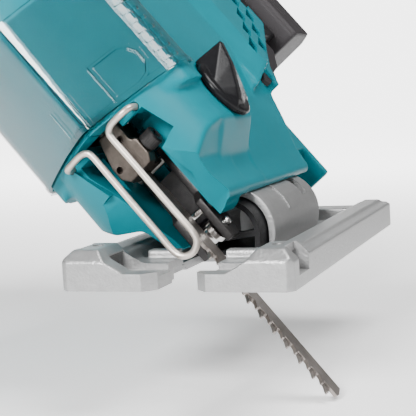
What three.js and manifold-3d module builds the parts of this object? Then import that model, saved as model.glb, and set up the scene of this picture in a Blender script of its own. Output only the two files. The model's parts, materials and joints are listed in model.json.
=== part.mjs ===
// Cordless top-handle jigsaw, standing on its base with the body tilted for a bevel cut.
// Millimetres, +Z up, the tool's front towards -Y and its left side towards +X.
// The origin is on the sole, in the mid-plane, under the tilt barrel.
import * as THREE from 'three';
import { mergeVertices } from 'three/addons/utils/BufferGeometryUtils.js';
import Module from 'manifold-3d';

const wasm = await Module();
wasm.setup();

// Driving dimensions.
const BASE_WIDTH = 76;
const BASE_LENGTH = 158;
const ORIGIN_FROM_FRONT = 93.5; // the origin's distance behind the base's front edge
const AXIS_HEIGHT = 10.3; // the tilt axis above the sole
const BEVEL = 40; // degrees that the body leans towards -X at rest
const BARREL_R = 15;
const BARREL_WALL = 2.5;
const BARREL_FRONT = 62;
const BARREL_REAR = 125;
const SEAT_R = BARREL_R + 0.6;
const BLADE_Y = 32; // the blade's middle line, from the base's front edge
const CRANK_Z = 98;
const CRANK_THROW = 13; // half of the 26 mm stroke
const MOTOR_Z = 71.4;
const GAP = 0.3;

// Finishes.
const finish = (color, roughness, metalness = 0) =>
  new THREE.MeshStandardMaterial({ color, roughness, metalness });
const teal = finish(0x048c96, 0.42);
const black = finish(0x1b1b1d, 0.5);
const darkGrey = finish(0x4a4749, 0.6);
const rubber = finish(0x232325, 0.85);
const castAluminium = finish(0xb4b5b6, 0.5, 0.8);
const castSteel = finish(0x7d7068, 0.45, 0.8);
const steel = finish(0xa6a19c, 0.35, 0.95);
const blackSteel = finish(0x26262a, 0.4, 0.7);
const wireSteel = finish(0xc2b9ac, 0.4, 0.8);
const clear = finish(0xdfeef0, 0.1);
const copper = finish(0xb06a3a, 0.4, 0.8);
const bronze = finish(0x9a7a45, 0.5, 0.8);
const boardGreen = finish(0x2f6b3c, 0.6);
const cellBlue = finish(0x6f8aa0, 0.5);

// Solids. Every shape is a closed three.js geometry; manifold only joins and cuts.
function solid(geometry) {
  const bare = geometry.clone();
  bare.deleteAttribute('normal');
  bare.deleteAttribute('uv');
  const merged = mergeVertices(bare, 1e-4);
  return new wasm.Manifold(new wasm.Mesh({
    numProp: 3,
    vertProperties: new Float32Array(merged.attributes.position.array),
    triVerts: new Uint32Array(merged.index.array),
  }));
}

function geometryOf(body) {
  const mesh = body.getMesh();
  const geometry = new THREE.BufferGeometry();
  geometry.setAttribute('position', new THREE.BufferAttribute(mesh.vertProperties, 3));
  geometry.setIndex(new THREE.BufferAttribute(mesh.triVerts, 1));
  return geometry;
}

const join = (...bodies) => bodies.reduce((whole, body) => whole.add(body));
const cut = (body, ...tools) => tools.reduce((left, tool) => left.subtract(tool), body);
const mirrored = (points) => [...points, ...points.slice().reverse().map(([x, z]) => [-x, z])];

function box(x0, x1, y0, y1, z0, z1) {
  const geometry = new THREE.BoxGeometry(x1 - x0, y1 - y0, z1 - z0);
  geometry.translate((x0 + x1) / 2, (y0 + y1) / 2, (z0 + z1) / 2);
  return solid(geometry);
}

function extruded(points, depth, segments = 6) {
  const outline = points instanceof THREE.Shape
    ? points
    : new THREE.Shape(points.map(([a, b]) => new THREE.Vector2(a, b)));
  return new THREE.ExtrudeGeometry(outline, { depth, bevelEnabled: false, curveSegments: segments });
}

// Outline in (x, z), running from y0 to y1.
function alongY(points, y0, y1, segments) {
  const geometry = extruded(points, y1 - y0, segments);
  geometry.rotateX(Math.PI / 2);
  geometry.translate(0, y1, 0);
  return solid(geometry);
}

// Outline in (y, z), running from x0 to x1.
function alongX(points, x0, x1, segments) {
  const geometry = extruded(points, x1 - x0, segments);
  geometry.applyMatrix4(new THREE.Matrix4().set(0, 0, 1, x0, 1, 0, 0, 0, 0, 1, 0, 0, 0, 0, 0, 1));
  return solid(geometry);
}

// Outline in (x, y), running from z0 to z1.
function alongZ(points, z0, z1, segments) {
  const geometry = extruded(points, z1 - z0, segments);
  geometry.translate(0, 0, z0);
  return solid(geometry);
}

// Round bar between two points, with its own number of sides.
function rod(radius, from, to, sides = 20, endRadius = radius) {
  const start = new THREE.Vector3(...from);
  const run = new THREE.Vector3(...to).sub(start);
  const geometry = new THREE.CylinderGeometry(endRadius, radius, run.length(), sides);
  geometry.translate(0, run.length() / 2, 0);
  geometry.applyQuaternion(new THREE.Quaternion().setFromUnitVectors(
    new THREE.Vector3(0, 1, 0), run.clone().normalize()));
  geometry.translate(...from);
  return solid(geometry);
}

const ring = (outer, inner, from, to, sides = 20) => {
  const middle = new THREE.Vector3(...from).lerp(new THREE.Vector3(...to), 0.5);
  const reach = (point) => middle.clone().lerp(new THREE.Vector3(...point), 1.2).toArray();
  return cut(rod(outer, from, to, sides), rod(inner, reach(from), reach(to), sides));
};

// Bar of round section bent along a smooth path.
function bentRod(radius, points, steps, sides = 8) {
  const path = new THREE.CatmullRomCurve3(points.map((p) => new THREE.Vector3(...p)), false, 'centripetal');
  const section = new THREE.Shape();
  section.absarc(0, 0, radius, 0, Math.PI * 2);
  return solid(new THREE.ExtrudeGeometry(section, {
    steps, extrudePath: path, bevelEnabled: false, curveSegments: sides / 2,
  }));
}

function place(group, name, body, material) {
  const mesh = new THREE.Mesh(geometryOf(body), material);
  mesh.name = name;
  group.add(mesh);
}

// Both groups measure y from the base's front edge.
const jigsaw = new THREE.Group();
const base = new THREE.Group();
base.position.set(0, -ORIGIN_FROM_FRONT, 0);
const body = new THREE.Group(); // z is measured from the tilt axis
body.position.set(0, -ORIGIN_FROM_FRONT, AXIS_HEIGHT);
body.rotation.y = THREE.MathUtils.degToRad(-BEVEL);
jigsaw.add(base, body);

// ---------------------------------------------------------------- base
const HALF = BASE_WIDTH / 2;
const PLATE = 5.5; // thickness of the front lip
const WEB = 2.8; // thickness of the floor beside the barrel
const WALL_TOP = 9.2;
const BLOCK_TOP = 12.7;
const BLOCK_REAR = 19.5;
const CHANNEL = { front: 7, rear: 18.6, floor: 4, roof: 10 }; // the rip fence runs through it
const OPENING_HALF = 8.5; // around the blade and the roller
const BOLT_Y = 112;
const BOLT_SWING = 58; // degrees each way that the slot for the clamp bolt reaches

function basePlate() {
  const plan = new THREE.Shape();
  plan.moveTo(-HALF, 1.5);
  plan.lineTo(-HALF + 1.5, 0);
  plan.lineTo(HALF - 1.5, 0);
  plan.lineTo(HALF, 1.5);
  plan.lineTo(HALF, BASE_LENGTH - 5);
  plan.absarc(HALF - 5, BASE_LENGTH - 5, 5, 0, Math.PI / 2);
  plan.absarc(5 - HALF, BASE_LENGTH - 5, 5, Math.PI / 2, Math.PI);
  const side = [[BARREL_R - 4, 0], [BARREL_R - 4, WEB], [21.5, WEB], [24, WALL_TOP + 0.1],
    [26, 9.5], [26, 10.1], [33, 10.1], [33, 9.6], [HALF, WALL_TOP], [HALF, 0]];
  const mirrorSide = side.map(([x, z]) => [-x, z]).reverse();
  const block = [[20, 0], [20, 7.5], [23, WALL_TOP], [26, BLOCK_TOP], [34.5, BLOCK_TOP], [HALF, WALL_TOP],
    [HALF, 0]];
  const mirrorBlock = block.map(([x, z]) => [-x, z]).reverse();
  const front = [[0, 0], [0, WALL_TOP], [3.5, BLOCK_TOP], [BLOCK_REAR, BLOCK_TOP], [BLOCK_REAR, 0]];
  const lip = [[-23, 0], [23, 0], [23, WALL_TOP], [16.5, PLATE], [-16.5, PLATE], [-23, WALL_TOP]];
  const mouth = [[-12.4, -1], [12.4, -1], [12.4, 0], [OPENING_HALF - 0.5, 4.2], [0.5 - OPENING_HALF, 4.2], [-12.4, 0]];
  const whole = join(
    alongZ(plan, 0, WEB, 4),
    alongY(side, BLOCK_REAR - 0.5, BASE_LENGTH),
    alongY(mirrorSide, BLOCK_REAR - 0.5, BASE_LENGTH),
    join(alongY(block, 0, BLOCK_REAR), alongY(mirrorBlock, 0, BLOCK_REAR)).intersect(alongX(front, -HALF, HALF)),
    alongY(lip, 0, BLOCK_REAR),
    box(-22, 22, BLOCK_REAR - 1, 32, 0, 6),
    box(-19, 19, 27, 32, 0, 8.8),
    box(-24, 24, BARREL_REAR + 20, BASE_LENGTH, 0, 8),
    alongY(mirrored(arc(BARREL_R, 90, -34, 13)), BARREL_FRONT, BARREL_REAR),
  ).intersect(alongZ(plan, -1, 60, 4));
  const inner = BARREL_R - BARREL_WALL;
  const bolt = BOLT_SWING;
  return cut(
    whole,
    box(-HALF - 1, HALF + 1, CHANNEL.front, CHANNEL.rear, CHANNEL.floor, CHANNEL.roof),
    box(-24, 24, CHANNEL.front, CHANNEL.rear, CHANNEL.floor, 20),
    box(33.4, HALF + 1, CHANNEL.front, CHANNEL.rear, CHANNEL.floor, 20),
    box(-HALF - 1, -33.4, CHANNEL.front, CHANNEL.rear, CHANNEL.floor, 20),
    alongZ(roundedSlot(6.5, -1, 22, 5), -1, 20, 4),
    box(-OPENING_HALF, OPENING_HALF, 16, 58, -1, 20),
    box(-11, 11, 36, 58, -1, 20),
    alongY(mouth, 23, 41),
    alongY(mirrored([[inner, WEB], ...arc(inner, 90, 0, 9)]), 50, BARREL_REAR + 18),
    alongY(mirrored([[0.01, AXIS_HEIGHT], ...arc(BARREL_R + 6, 90 - bolt, 90 - bolt, 0), [0.01, 40]]),
      BOLT_Y - 3.6, BOLT_Y + 3.6),
    box(-11.5, 11.5, BOLT_Y - 5, BOLT_Y + 5, -1, WEB + 1),
    rod(2, [30, 13, 9], [30, 13, 14], 12),
    rod(2, [-30, 13, 9], [-30, 13, 14], 12),
  );
}

// Points of an arc around the tilt axis, in base height, by angle from +X.
function arc(radius, from, to, steps) {
  const points = [];
  for (let i = 0; i <= steps; i += 1) {
    const angle = THREE.MathUtils.degToRad(to + ((from - to) * i) / Math.max(steps, 1));
    points.push([radius * Math.cos(angle), AXIS_HEIGHT + radius * Math.sin(angle)]);
  }
  return points;
}

function roundedSlot(half, y0, y1, corner) {
  const shape = new THREE.Shape();
  shape.moveTo(-half, y1);
  shape.lineTo(-half, y0 + corner);
  shape.lineTo(-half - corner, y0);
  shape.lineTo(half + corner, y0);
  shape.lineTo(half, y0 + corner);
  shape.lineTo(half, y1);
  return shape;
}

place(base, 'base_plate', basePlate(), castAluminium);

// Black insert that carries the dust away through the barrel.
function dustNozzle() {
  const inner = BARREL_R - BARREL_WALL - 0.5;
  const floor = WEB + GAP;
  const outside = mirrored([[inner - 0.4, floor], ...arc(inner, 90, 0, 8)]);
  const inside = mirrored([[inner - 2, floor + 1.5], ...arc(inner - 1.8, 90, 0, 8)]);
  const beam = [[-10.8, 6.4], [10.8, 9.6], [10.8, 11.8], [-10.8, 8.6]];
  return join(
    cut(alongY(outside, 53, 100), alongY(inside, 50, 101)),
    alongY(beam, 54, 58),
  );
}

place(base, 'dust_nozzle', dustNozzle(), black);

// ---------------------------------------------------------------- housing
const SIDE = 33; // half of the head's width
const HEAD_TOP = 128;
const REAR = 140; // rear wall of the motor bay
const SPLIT = 0.15; // half of the gap between the two housing halves
const COVER = { bottom: 50, top: 96, thick: 1.9, rear: 46 };
const WIRE = { r: 1, y: 17, leg: 4.6, top: 47, end: 15.5, bottom: -1 };
const LEVER = { y: 64, z: 39.4, face: 29, r: 12 };
const MOUNT_REAR = 184;
const DIAL = { y: 62, z: 184, r: 9 };
const LOCK = { y: 100, z: 171 };
// Screws that hold the halves together: y, z, and where the head's outer face lies.
const SCREWS = [[36, 160, 15], [158, 171, 15], [176, 76, 28], [72, 119, 28], [128, 102, 28], [137, 28, 21]];

// The head's pointed front in plan; inset moves it straight back.
function headPlan(inset, rear, half = SIDE - inset / 2) {
  const front = [[0, 11.6], [6.5, 14.6], [14, 18.8], [24, 26], [half, 34]];
  return mirrored([...front.map(([x, y]) => [x, y + inset]), [half, rear]]);
}

const seat = (radius, y0, y1) => rod(radius, [0, y0, 0], [0, y1, 0], 40);

function housing() {
  const nose = [[9, 4.5], [12.4, 5], [12.9, 19], [22, 24.5], [26, 28.5], [28.5, 36], [SIDE, 50], [SIDE, 60]];
  const skirt = [[9, 8], [12, 6.3], [15.2, 6.3], [17, 8], [17.2, 16], [18.5, 19.5]];
  const middle = [...skirt, [28.5, 29.6], [LEVER.face, 42], [LEVER.face, 53], [SIDE, 60]];
  const rear = [...skirt, [24.2, 25.2], [24.8, 42], [30, 56], [30, 60]];
  const head = [[14, 56], [14, HEAD_TOP - 6], [20, HEAD_TOP], [REAR - 6, 106], [200, 100], [200, 78],
    [REAR + 10, 50], [REAR, 44], [34, 44]];
  const grip = [[22, 120], [30, 168], [44, 186], [62, 191], [150, 186], [MOUNT_REAR, 178], [200, 160],
    [200, 90], [150, 60], [60, 60]];
  const handHole = [[76, 112], [72, 150], [84, 157], [152, 154], [164, 146], [164, 106]];
  const arm = [...skirt, [22, 24.5], [9, 24.5]];
  const lower = join(
    alongY(mirrored(nose), 10, 57).intersect(alongZ(headPlan(1.6, 60), 0, COVER.bottom - 0.4)),
    alongY(arm, 43, 57),
    alongY(mirrored(middle), 56.5, 80),
    alongY(mirrored(rear), 79.5, REAR),
  );
  const upper = alongX(head, -SIDE, SIDE).intersect(join(
    alongZ(headPlan(3.4, 60), 40, HEAD_TOP + 1),
    box(-SIDE, SIDE, COVER.rear + 1, 150, 40, HEAD_TOP + 1),
    box(-30, 30, 140, 190, 40, HEAD_TOP + 1),
  ));
  const handle = alongX(grip, -17, 17).subtract(alongX(handHole, -20, 20));
  const mount = box(-31, 31, 172, MOUNT_REAR, 70, 172);
  const foot = join(box(-15.5, 15.5, 135, 163, 16.4, 46), box(-15.5, 15.5, 159.2, 163, 2, 20));
  const window = [[9, -1], [9, 14], [14, 20], [14, 34], [20, 36], [20, 48.6]];
  const chin = [[0, -2], [38, -2], [36, 10], [22, 29], [0, 29]];
  return cut(
    join(lower, upper, handle, mount, foot),
    box(-40, 40, MOUNT_REAR, 220, 40, 200),
    alongX(chin, -40, 40),
    alongY(mirrored(window), 0, 34.5),
    seat(SEAT_R, 50, REAR + 1),
    ...hollows(),
    ...holes(),
  );
}

// What is empty inside the closed housing.
function hollows() {
  return [
    box(-9, 9, 30, 52, 0, 47), // around the blade clamp and the roller holder
    box(-12, 12, 23, 40, 50, 122), // plunger and its guides
    box(-8, 8, 22.4, 50, 40, 52),
    box(-6.4, 14, 24.2, 40, 46, 62), // blade clamp and its screw at the top of the stroke
    box(-27.5, 27.5, 36.4, 68, 52, 122), // gear case
    box(-25, 25, 66, 134, 48, 95), // motor
    box(-21, 21, 58, 134, 30, 50),
    box(-14, 14, 58, 134, 21, 31),
    box(-14, 14, 50, 64, 156, 184), // handle
    box(-14, 14, 62, 172, 160, 182),
    box(-14, 14, 40, 66, 120, 170),
    box(-14, 14, 166.5, 181, 80, 174),
    box(-12, 12, 132, 168, 64, 92),
    box(-14, 14, 180, MOUNT_REAR + 1, 88, 160),
  ];
}

function holes() {
  const wireHole = (x) => rod(WIRE.r + 0.4, [x, 12, WIRE.top], [x, 41, WIRE.top], 12);
  const screwHoles = SCREWS.flatMap(([y, z, x]) => [
    rod(3.8, [-40, y, z], [4.7 - x, y, z], 12),
    rod(2.1, [-40, y, z], [10, y, z], 12),
  ]);
  const vents = [0, 1, 2, 3].map((i) => box(-40, 40, 108 + 7 * i, 112 + 7 * i, 72, 88));
  return [
    wireHole(WIRE.end),
    wireHole(-WIRE.end),
    rod(3.1, [0, BOLT_Y, 10], [0, BOLT_Y, 24], 12),
    rod(3.4, [5, LEVER.y, LEVER.z], [40, LEVER.y, LEVER.z], 16),
    rod(LEVER.r + 1.2, [LEVER.face, LEVER.y, LEVER.z], [40, LEVER.y, LEVER.z], 24),
    box(-7.6, 7.6, 83.4, 112.6, 145, 161), // trigger
    box(-4.4, 4.4, DIAL.y - 10.4, DIAL.y + 10.4, 173, 196),
    rod(4.4, [5, LOCK.y, LOCK.z], [30, LOCK.y, LOCK.z], 16),
    ...screwHoles,
    ...vents,
  ];
}

const shell = cut(housing(), box(-SPLIT, SPLIT, -10, 260, -20, 260));
place(body, 'housing_left', shell.intersect(box(0, 60, -10, 260, -20, 260)), teal);
place(body, 'housing_right', shell.intersect(box(-60, 0, -10, 260, -20, 260)), teal);

function screw(y, z, x) {
  return join(
    rod(3.4, [-x, y, z], [4.3 - x, y, z], 12),
    rod(1.7, [4 - x, y, z], [9, y, z], 12),
  );
}

SCREWS.forEach(([y, z, x], i) => place(body, `housing_screw_${i + 1}`, screw(y, z, x), blackSteel));

// Rubber pad over the top and sides of the grip.
function gripPad() {
  return cut(
    alongX([[88, 166], [88, 191.5], [150, 187.9], [150, 166]], -18.8, 18.8),
    alongX([[60, 150], [60, 191.5], [62, 191.5], [160, 186], [160, 150]], -17.3, 17.3),
    rod(7, [17, LOCK.y, LOCK.z], [30, LOCK.y, LOCK.z], 16),
  );
}

place(body, 'grip_pad', gripPad(), rubber);

// ---------------------------------------------------------------- blade guard and cover
function guardWire() {
  const { y, leg, top, end, bottom } = WIRE;
  const half = [[end, 39, top], [end, 20.5, top], [end - 0.9, 18, top], [end - 3.4, y, top],
    [leg + 3, y, top],
    [leg + 0.8, y, top - 0.8], [leg, y, top - 3], [leg, y, top - 22], [leg, y, bottom + 5],
    [leg - 1.5, y, bottom + 1.5]];
  const other = half.slice().reverse().map(([x, py, z]) => [-x, py, z]);
  return bentRod(WIRE.r, [...half, [0, y, bottom], ...other], 64);
}

place(body, 'guard_wire', guardWire(), wireSteel);

function dustCover() {
  const { bottom, top, thick, rear } = COVER;
  return cut(
    alongZ(headPlan(0, rear, SIDE + 0.6), bottom, top),
    alongZ(headPlan(thick, rear + 5, SIDE - thick / 2), bottom - 1, top + 1),
  );
}

place(body, 'dust_cover', dustCover(), clear);

// ---------------------------------------------------------------- plunger, clamp and blade
const YOKE_Z = CRANK_Z; // at rest the plunger stands in the middle of its stroke
const PLUNGER_R = 4.5;
const CLAMP = { half: 5.7, front: 25, rear: 38, bottom: 30, top: 48.7, lug: 8 };
const CLAMP_SCREW = { y: 28, z: 37 };
const BLADE = { half: 0.6, tooth: 27, root: 28.2, back: 36.4, top: 36, tip: -65, pitch: 3.15, teeth: 19 };

place(body, 'plunger_rod', rod(PLUNGER_R, [0, BLADE_Y, 49], [0, BLADE_Y, YOKE_Z + 5]), steel);

const guide = (z0, z1) => cut(
  box(-11.5, 11.5, 23.4, 37.6, z0, z1),
  rod(PLUNGER_R + GAP, [0, BLADE_Y, z0 - 1], [0, BLADE_Y, z1 + 1]),
);
place(body, 'plunger_guide_lower', guide(62.2, 67.5), bronze);
place(body, 'plunger_guide_upper', guide(73, 78.4), bronze);

function crosshead() {
  return cut(
    join(box(-7, 7, 25.5, 38, YOKE_Z - 4, YOKE_Z + 4), box(-18, 18, 37, 42.6, YOKE_Z - 6, YOKE_Z + 6)),
    rod(PLUNGER_R + GAP, [0, BLADE_Y, YOKE_Z - 9], [0, BLADE_Y, YOKE_Z + 9]),
    box(-16, 16, 39.5, 43, YOKE_Z - 3.6, YOKE_Z + 3.6),
  );
}

place(body, 'crosshead', crosshead(), steel);

function bladeClamp() {
  const { half, front, rear, bottom, top, lug } = CLAMP;
  return cut(
    join(
      box(-half, half, front, rear, bottom, top),
      alongY([[half - 1, 31], [lug, 32], [lug, 40], [half - 1, 41]], front, front + 6.4),
    ),
    box(-BLADE.half - GAP, BLADE.half + GAP, BLADE.tooth - 0.3, BLADE.back + 0.3, bottom - 1, BLADE.top + 3),
    rod(2.2, [0, CLAMP_SCREW.y, CLAMP_SCREW.z], [20, CLAMP_SCREW.y, CLAMP_SCREW.z], 12),
    rod(1.25, [3.5, 20, 43.4], [3.5, 28, 43.4], 12),
    rod(1.25, [-3.6, 20, 36.2], [-3.6, 28, 36.2], 12),
  );
}

place(body, 'blade_clamp', bladeClamp(), castSteel);

function clampScrew() {
  const { y, z } = CLAMP_SCREW;
  const head = rod(3.3, [CLAMP.lug + GAP, y, z], [CLAMP.lug + 5.3, y, z], 20);
  const shank = rod(1.9, [1.2, y, z], [CLAMP.lug + 1, y, z], 12);
  const socket = rod(1.7, [CLAMP.lug + 3, y, z], [CLAMP.lug + 7, y, z], 6);
  return cut(join(head, shank), socket);
}

place(body, 'clamp_screw', clampScrew(), blackSteel);

function blade() {
  const { half, tooth, root, back, top, tip, pitch, teeth } = BLADE;
  const outline = [[root, tip + 1], [back - 4.4, tip], [back, tip + 0.6], [back, 22], [back - 1.6, 26]];
  outline.push([back - 1.6, top], [root + 0.8, top], [root + 0.8, 26], [root, 22]);
  for (let i = 0; i < teeth; i += 1) {
    const z = tip + 2 + pitch * (teeth - i);
    outline.push([root, z], [tooth, z - pitch * 0.8]);
  }
  return alongX(outline, -half, half);
}

place(body, 'blade', blade(), steel);

// ---------------------------------------------------------------- roller behind the blade
const ROLLER = { y: 41.2, z: 2, r: 4.2 };
const HOLDER_PIVOT = { y: 45, z: 33 };

function rollerHolder() {
  const cheek = [[37.4, -3.6], [45, -3.6], [48.5, 3], [48.5, 30], [47, 36.4], [43, 36.4], [41.6, 30],
    [41.6, 16], [37.4, 13]];
  const fork = join(alongX(cheek, -7, -4), alongX(cheek, 4, 7), box(-5, 5, 45.5, 48.5, 8, 28));
  const bore = (y, z, r) => rod(r, [-9, y, z], [9, y, z], 12);
  return cut(
    fork,
    bore(ROLLER.y, ROLLER.z, 1.8),
    bore(HOLDER_PIVOT.y, HOLDER_PIVOT.z, 1.8),
    bore(39.6, 10.2, 1.6),
  );
}

function roller() {
  const { y, z, r } = ROLLER;
  return cut(
    rod(r, [-3.6, y, z], [3.6, y, z], 24),
    ring(r + 1, r - 0.9, [-0.9, y, z], [0.9, y, z], 24),
    rod(1.8, [-5, y, z], [5, y, z], 12),
  );
}

place(body, 'roller_holder', rollerHolder(), black);
place(body, 'roller', roller(), steel);
place(body, 'roller_pin', rod(1.5, [-8, ROLLER.y, ROLLER.z], [8.4, ROLLER.y, ROLLER.z], 12), steel);
place(body, 'blade_stop_pin', rod(1.3, [-6.6, 39.6, 10.2], [6.6, 39.6, 10.2], 12), steel);
place(body, 'holder_pivot_pin',
  rod(1.5, [-8.6, HOLDER_PIVOT.y, HOLDER_PIVOT.z], [8.6, HOLDER_PIVOT.y, HOLDER_PIVOT.z], 12), steel);

// ---------------------------------------------------------------- orbital lever
function orbitalLever() {
  const { y, z, face, r } = LEVER;
  const plate = rod(r, [face + 0.5, y, z], [face + 3.5, y, z], 24);
  const finger = [[face + 3, z - 11], [face + 10, z - 9.5], [face + 13, z + 9.5], [face + 3, z + 11.5]];
  return join(plate, alongY(finger, y - 6, y + 5));
}

place(body, 'orbital_lever', orbitalLever(), black);
place(body, 'lever_shaft', rod(3, [12, LEVER.y, LEVER.z], [LEVER.face + 0.2, LEVER.y, LEVER.z], 16), steel);

// ---------------------------------------------------------------- base clamp
place(body, 'base_clamp_bolt', cut(
  join(rod(2.5, [0, BOLT_Y, 8], [0, BOLT_Y, 28], 12), rod(4.3, [0, BOLT_Y, 3.4], [0, BOLT_Y, 8.5], 16)),
  rod(2.4, [0, BOLT_Y, 3], [0, BOLT_Y, 7], 6),
), blackSteel);

function clampWasher() {
  const wedge = alongY([[0, 0], [-8, 14], [8, 14]], BOLT_Y - 6, BOLT_Y + 6);
  return cut(ring(12.1, 9.9, [0, BOLT_Y - 6, 0], [0, BOLT_Y + 6, 0], 40).intersect(wedge),
    rod(2.8, [0, BOLT_Y, 5], [0, BOLT_Y, 14], 12));
}

place(body, 'clamp_washer', clampWasher(), steel);
place(body, 'clamp_nut', cut(
  box(-5, 5, BOLT_Y - 5, BOLT_Y + 5, 21.3, 25.5),
  rod(2.8, [0, BOLT_Y, 20], [0, BOLT_Y, 30], 12),
), steel);

// ---------------------------------------------------------------- gears and motor
const GEAR_R = 22;
const motorRod = (r, y0, y1, sides) => rod(r, [0, y0, MOTOR_Z], [0, y1, MOTOR_Z], sides);
const motorRing = (outer, inner, y0, y1, sides) => ring(outer, inner, [0, y0, MOTOR_Z], [0, y1, MOTOR_Z], sides);
const crankRod = (r, y0, y1, sides) => rod(r, [0, y0, CRANK_Z], [0, y1, CRANK_Z], sides);
// At rest the pin stands level with the crosshead.
const pinRod = (r, y0, y1) => rod(r, [CRANK_THROW, y0, CRANK_Z], [CRANK_THROW, y1, CRANK_Z], 12);

place(body, 'crank_gear', cut(
  crankRod(GEAR_R, 46, 53, 32),
  crankRod(4.3, 44, 55, 16),
  pinRod(3.1, 44, 55),
), steel);
place(body, 'crank_pin', pinRod(2.8, 43.4, 53), steel);
place(body, 'gear_axle', crankRod(4, 45.4, 64, 16), steel);
place(body, 'gear_case', cut(
  box(-26.5, 26.5, 57, 60, 53, 121),
  crankRod(4.3, 56, 61, 16),
  motorRod(7, 56, 61, 20),
), castAluminium);
place(body, 'front_bearing', motorRing(6.7, 2.8, 57, 61), steel);
place(body, 'rear_bearing', motorRing(6.7, 2.8, 127, 131), steel);
place(body, 'pinion', motorRing(4.1, 2.8, 46, 54, 16), steel);
place(body, 'cooling_fan', motorRing(17, 2.8, 64, 70, 24), black);
place(body, 'motor_can', motorRing(20, 18.6, 74, 122, 28), darkGrey);
place(body, 'stator', motorRing(18.3, 13, 78, 118, 24), copper);
place(body, 'rotor', join(motorRod(12.4, 80, 116, 24), motorRod(2.5, 44.4, 130, 12)), steel);
place(body, 'motor_end_bell', cut(motorRing(20, 6.9, 122.4, 126, 28)), darkGrey);

// ---------------------------------------------------------------- controls
place(body, 'trigger', box(-7, 7, 84, 112, 147, 160), black);
place(body, 'switch_body', box(-9, 9, 84, 118, 166, 180), darkGrey);
place(body, 'lock_button', rod(4, [12.4, LOCK.y, LOCK.z], [20.4, LOCK.y, LOCK.z], 16), black);
place(body, 'speed_dial', rod(DIAL.r, [-4, DIAL.y, DIAL.z], [4, DIAL.y, DIAL.z], 24), black);
place(body, 'controller_board', box(-11, 11, 136, 164, 70, 73), boardGreen);
place(body, 'terminal_block', box(-12, 12, 176, MOUNT_REAR + 1, 96, 112), black);
place(body, 'led_lens', box(-3, 3, 41, 46, 46, 50), clear);

// ---------------------------------------------------------------- battery
const PACK = { rail: 30, half: 38, front: 185.6, split: 204, rear: 232, bottom: 61, top: 175 };
const CELL = { r: 9.2, half: 32.5, pitch: 20, y: 217 };

place(body, 'battery_rail_case', cut(
  box(-PACK.rail, PACK.rail, PACK.front, PACK.split - GAP, 70, 168),
  box(-27, 27, 189, PACK.split + 1, 73, 165),
), black);
place(body, 'battery_rear_case', cut(
  box(-PACK.half, PACK.half, PACK.split, PACK.rear, PACK.bottom, PACK.top),
  box(3 - PACK.half, PACK.half - 3, PACK.split + 2, PACK.rear - 3, PACK.bottom + 3, PACK.top - 3),
  box(-27, 27, PACK.split - 1, PACK.split + 3, 73, 165),
  box(-11.4, 11.4, 208.6, 223.4, PACK.top - 4, PACK.top + 1),
), darkGrey);
for (let i = 0; i < 5; i += 1) {
  const z = (PACK.bottom + PACK.top) / 2 + (i - 2) * CELL.pitch;
  place(body, `battery_cell_${i + 1}`, rod(CELL.r, [-CELL.half, CELL.y, z], [CELL.half, CELL.y, z], 16), cellBlue);
}
place(body, 'battery_button', box(-11, 11, 209, 223, PACK.top - 3.4, PACK.top + 2.6), black);

export default jigsaw;
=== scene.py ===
"""Cordless top-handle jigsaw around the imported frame: finer shells, castings, blade and finishes."""
import json
import math

import bmesh
import bpy
from mathutils import Matrix, Vector


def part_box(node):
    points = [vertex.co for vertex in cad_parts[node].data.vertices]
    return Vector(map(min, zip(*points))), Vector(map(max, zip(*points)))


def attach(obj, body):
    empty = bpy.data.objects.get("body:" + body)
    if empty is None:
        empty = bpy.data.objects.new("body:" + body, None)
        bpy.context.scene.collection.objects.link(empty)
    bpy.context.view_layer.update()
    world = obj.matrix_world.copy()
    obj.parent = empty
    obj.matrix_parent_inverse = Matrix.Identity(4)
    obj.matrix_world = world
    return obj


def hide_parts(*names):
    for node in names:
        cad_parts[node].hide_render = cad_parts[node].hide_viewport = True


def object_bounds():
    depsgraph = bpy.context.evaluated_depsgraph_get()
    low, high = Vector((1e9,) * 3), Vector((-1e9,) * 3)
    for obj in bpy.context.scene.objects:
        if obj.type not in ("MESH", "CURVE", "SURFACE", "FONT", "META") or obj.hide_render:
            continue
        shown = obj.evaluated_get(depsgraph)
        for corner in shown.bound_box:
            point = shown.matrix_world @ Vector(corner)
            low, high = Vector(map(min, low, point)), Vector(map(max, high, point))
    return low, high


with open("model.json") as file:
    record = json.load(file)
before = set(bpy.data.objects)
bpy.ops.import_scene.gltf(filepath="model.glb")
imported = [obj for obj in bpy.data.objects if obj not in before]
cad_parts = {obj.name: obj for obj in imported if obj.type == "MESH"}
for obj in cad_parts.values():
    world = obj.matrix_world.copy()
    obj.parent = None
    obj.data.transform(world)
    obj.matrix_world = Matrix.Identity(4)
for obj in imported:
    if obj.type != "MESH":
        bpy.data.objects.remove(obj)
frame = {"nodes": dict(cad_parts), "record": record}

CAD_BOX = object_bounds()
NODES = frame["nodes"]

# Millimetre frames: y runs back from the base's front edge, as in the CAD groups.
FRONT_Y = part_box("base_plate")[0].y
TILT_AXIS_Z = 0.0103
BEVEL = math.radians(-40)
MM = Matrix.Scale(0.001, 4)
BASE = Matrix.Translation((0, FRONT_Y, 0)) @ MM
BODY = Matrix.Translation((0, FRONT_Y, TILT_AXIS_Z)) @ Matrix.Rotation(BEVEL, 4, "Y") @ MM
ACROSS, BACKWARD, UPWARD = (1, 0, 0), (0, 1, 0), (0, 0, 1)


# ------------------------------------------------------------------ camera, light and floor
SENSOR_MM, LENS_MM = 36, 100.895
AZIMUTH, ELEVATION, ROLL = 19.73, 5.96, -3.31  # degrees
CAMERA_X, CAMERA_BEFORE_BASE, CAMERA_Z = 0.1292, 0.3246, 0.0615
BEHIND_TOOL = (-0.336, 0.936, -0.104)  # from the front left, past the tool
BEHIND_ON_FLOOR = (-0.338, 0.941, 0)
GLOW_START = (0.129, -0.418, -0.041)  # the narrow end of the floor's bright wedge


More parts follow.
